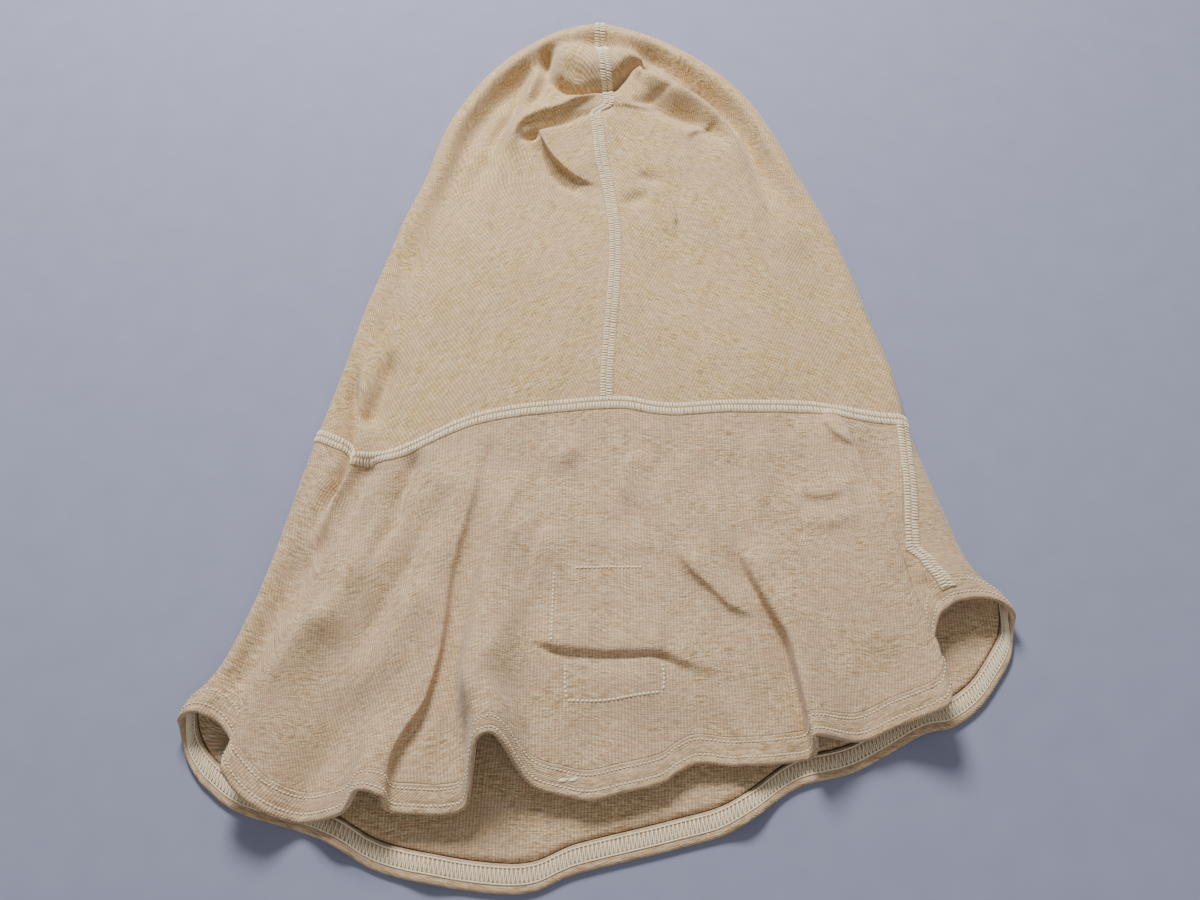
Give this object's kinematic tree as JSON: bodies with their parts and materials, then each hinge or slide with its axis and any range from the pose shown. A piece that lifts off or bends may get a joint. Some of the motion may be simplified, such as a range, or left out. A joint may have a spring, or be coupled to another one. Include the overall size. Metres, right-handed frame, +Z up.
{
  "type": "anti-flash hood",
  "caption": "Knitted hood that covers the head and neck under a helmet, with an oval face opening and a flared bib, laid flat on its front.",
  "frame": {"origin": "centre of the laid hood's outline, on the surface it lies on", "axes": "+Z up off the surface, +Y from the bib's hem towards the crown, +X across the hood, to the right with the hem nearest and the back of the hood upwards"},
  "size_m": [0.366, 0.4754, 0.0268],
  "materials": {
    "head_knit": "heathered fine-rib knit, cut on the bias, matt",
    "bib_knit": "heathered fine-rib knit, ribs running down, matt",
    "hem_knit": "turned hem of the same knit, cover-stitched in cream thread",
    "face_binding": "rib binding of the same yarn"
  },
  "bodies": {
    "root": {"hood_left_panel": "head_knit", "hood_right_panel": "head_knit", "bib_back_panel": "bib_knit", "bib_front_panel": "bib_knit", "bib_hem": "hem_knit", "face_opening_band": "face_binding"}
  },
  "joints": []
}
